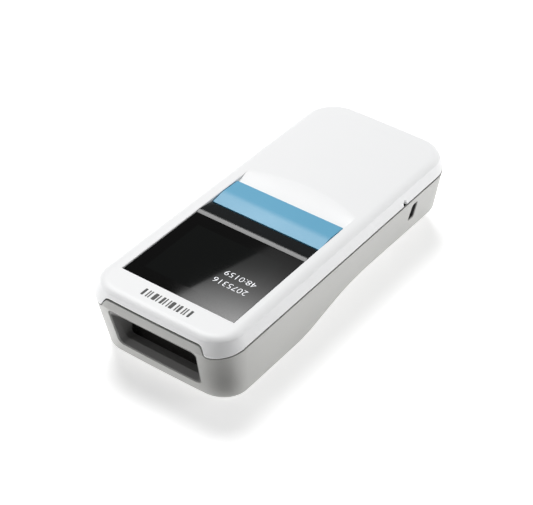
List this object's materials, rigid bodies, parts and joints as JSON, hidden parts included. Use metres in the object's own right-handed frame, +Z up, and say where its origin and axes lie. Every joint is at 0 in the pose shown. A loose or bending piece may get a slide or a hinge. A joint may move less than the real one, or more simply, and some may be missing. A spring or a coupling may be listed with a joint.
{
  "type": "pocket barcode scanner",
  "caption": "Hand-held barcode scanner: white top shell with display and wide blue trigger key, grey lower shell with deep head and recessed front scan window.",
  "frame": {"origin": "under the middle of the casing, at the height of the flat face under the head", "axes": "+Z up out of the display, -Y out of the scan window, +X towards the side with the strap slot"},
  "size_m": [0.0434, 0.1104, 0.022],
  "materials": {
    "white_casing": "satin gloss",
    "grey_casing": "satin",
    "dark_rubber": "matte",
    "brass": "knurled",
    "screw_steel": "black-oxide head, bright thread",
    "label": "matte film",
    "black_gloss": "mirror gloss",
    "adhesive": "matte",
    "black_bar": "satin gloss",
    "blue_key": "satin",
    "soft_pad": "matte foam",
    "switch_body": "matte",
    "switch_plunger": "satin",
    "inner_black": "matte",
    "oled_glass": "gloss",
    "polyimide": "satin film",
    "connector": "matte",
    "circuit_board": "solder mask",
    "shield_can": "drawn tin plate",
    "battery_wrap": "foil wrap",
    "bezel_grey": "fine texture",
    "liner_grey": "matte",
    "exit_glass": "polished",
    "engine_body": "matte",
    "lens_glass": "coated",
    "led": "clear",
    "bracket_steel": "plain"
  },
  "bodies": {
    "casing": {"upper_casing": "white_casing", "lower_casing": "grey_casing", "casing_seal": "dark_rubber", "threaded_inserts": "brass", "casing_screws": "screw_steel", "rating_label": "label", "display_window": "black_gloss", "window_tape": "adhesive", "key_bezel": "black_bar", "key_stop_pads": "soft_pad", "tact_switch": "switch_body", "oled_holder": "inner_black", "oled_panel": "oled_glass", "oled_flex": "polyimide", "oled_connector": "connector", "main_board": "circuit_board", "board_screws": "screw_steel", "processor_shield": "shield_can", "radio_module": "shield_can", "buzzer": "inner_black", "usb_socket": "shield_can", "usb_tongue": "connector", "battery_cell": "battery_wrap", "battery_foam": "soft_pad", "battery_connector": "connector", "battery_lead": "polyimide", "scan_bezel": "bezel_grey", "scan_glass": "exit_glass", "window_gasket": "dark_rubber", "scan_engine": "engine_body", "imaging_lens": "lens_glass", "aimer_lens": "lens_glass", "illumination_leds": "led", "engine_bracket": "bracket_steel", "engine_screws": "screw_steel", "engine_flex": "polyimide", "engine_connector": "connector", "strap_liner": "liner_grey"},
    "key": {"trigger_key": "blue_key"},
    "plunger": {"switch_plunger": "switch_plunger"}
  },
  "joints": [
    {"name": "key_press", "type": "slide", "parent": "casing", "child": "key", "axis": [0, 0, -1], "range_m": [0, 0.0005], "stiffness_N_per_m": 1500},
    {"name": "plunger_press", "type": "slide", "parent": "casing", "child": "plunger", "axis": [0, 0, -1], "range_m": [0, 0.0005]}
  ],
  "couplings": [
    {"joint": "plunger_press", "follows": "key_press", "ratio": 1}
  ]
}
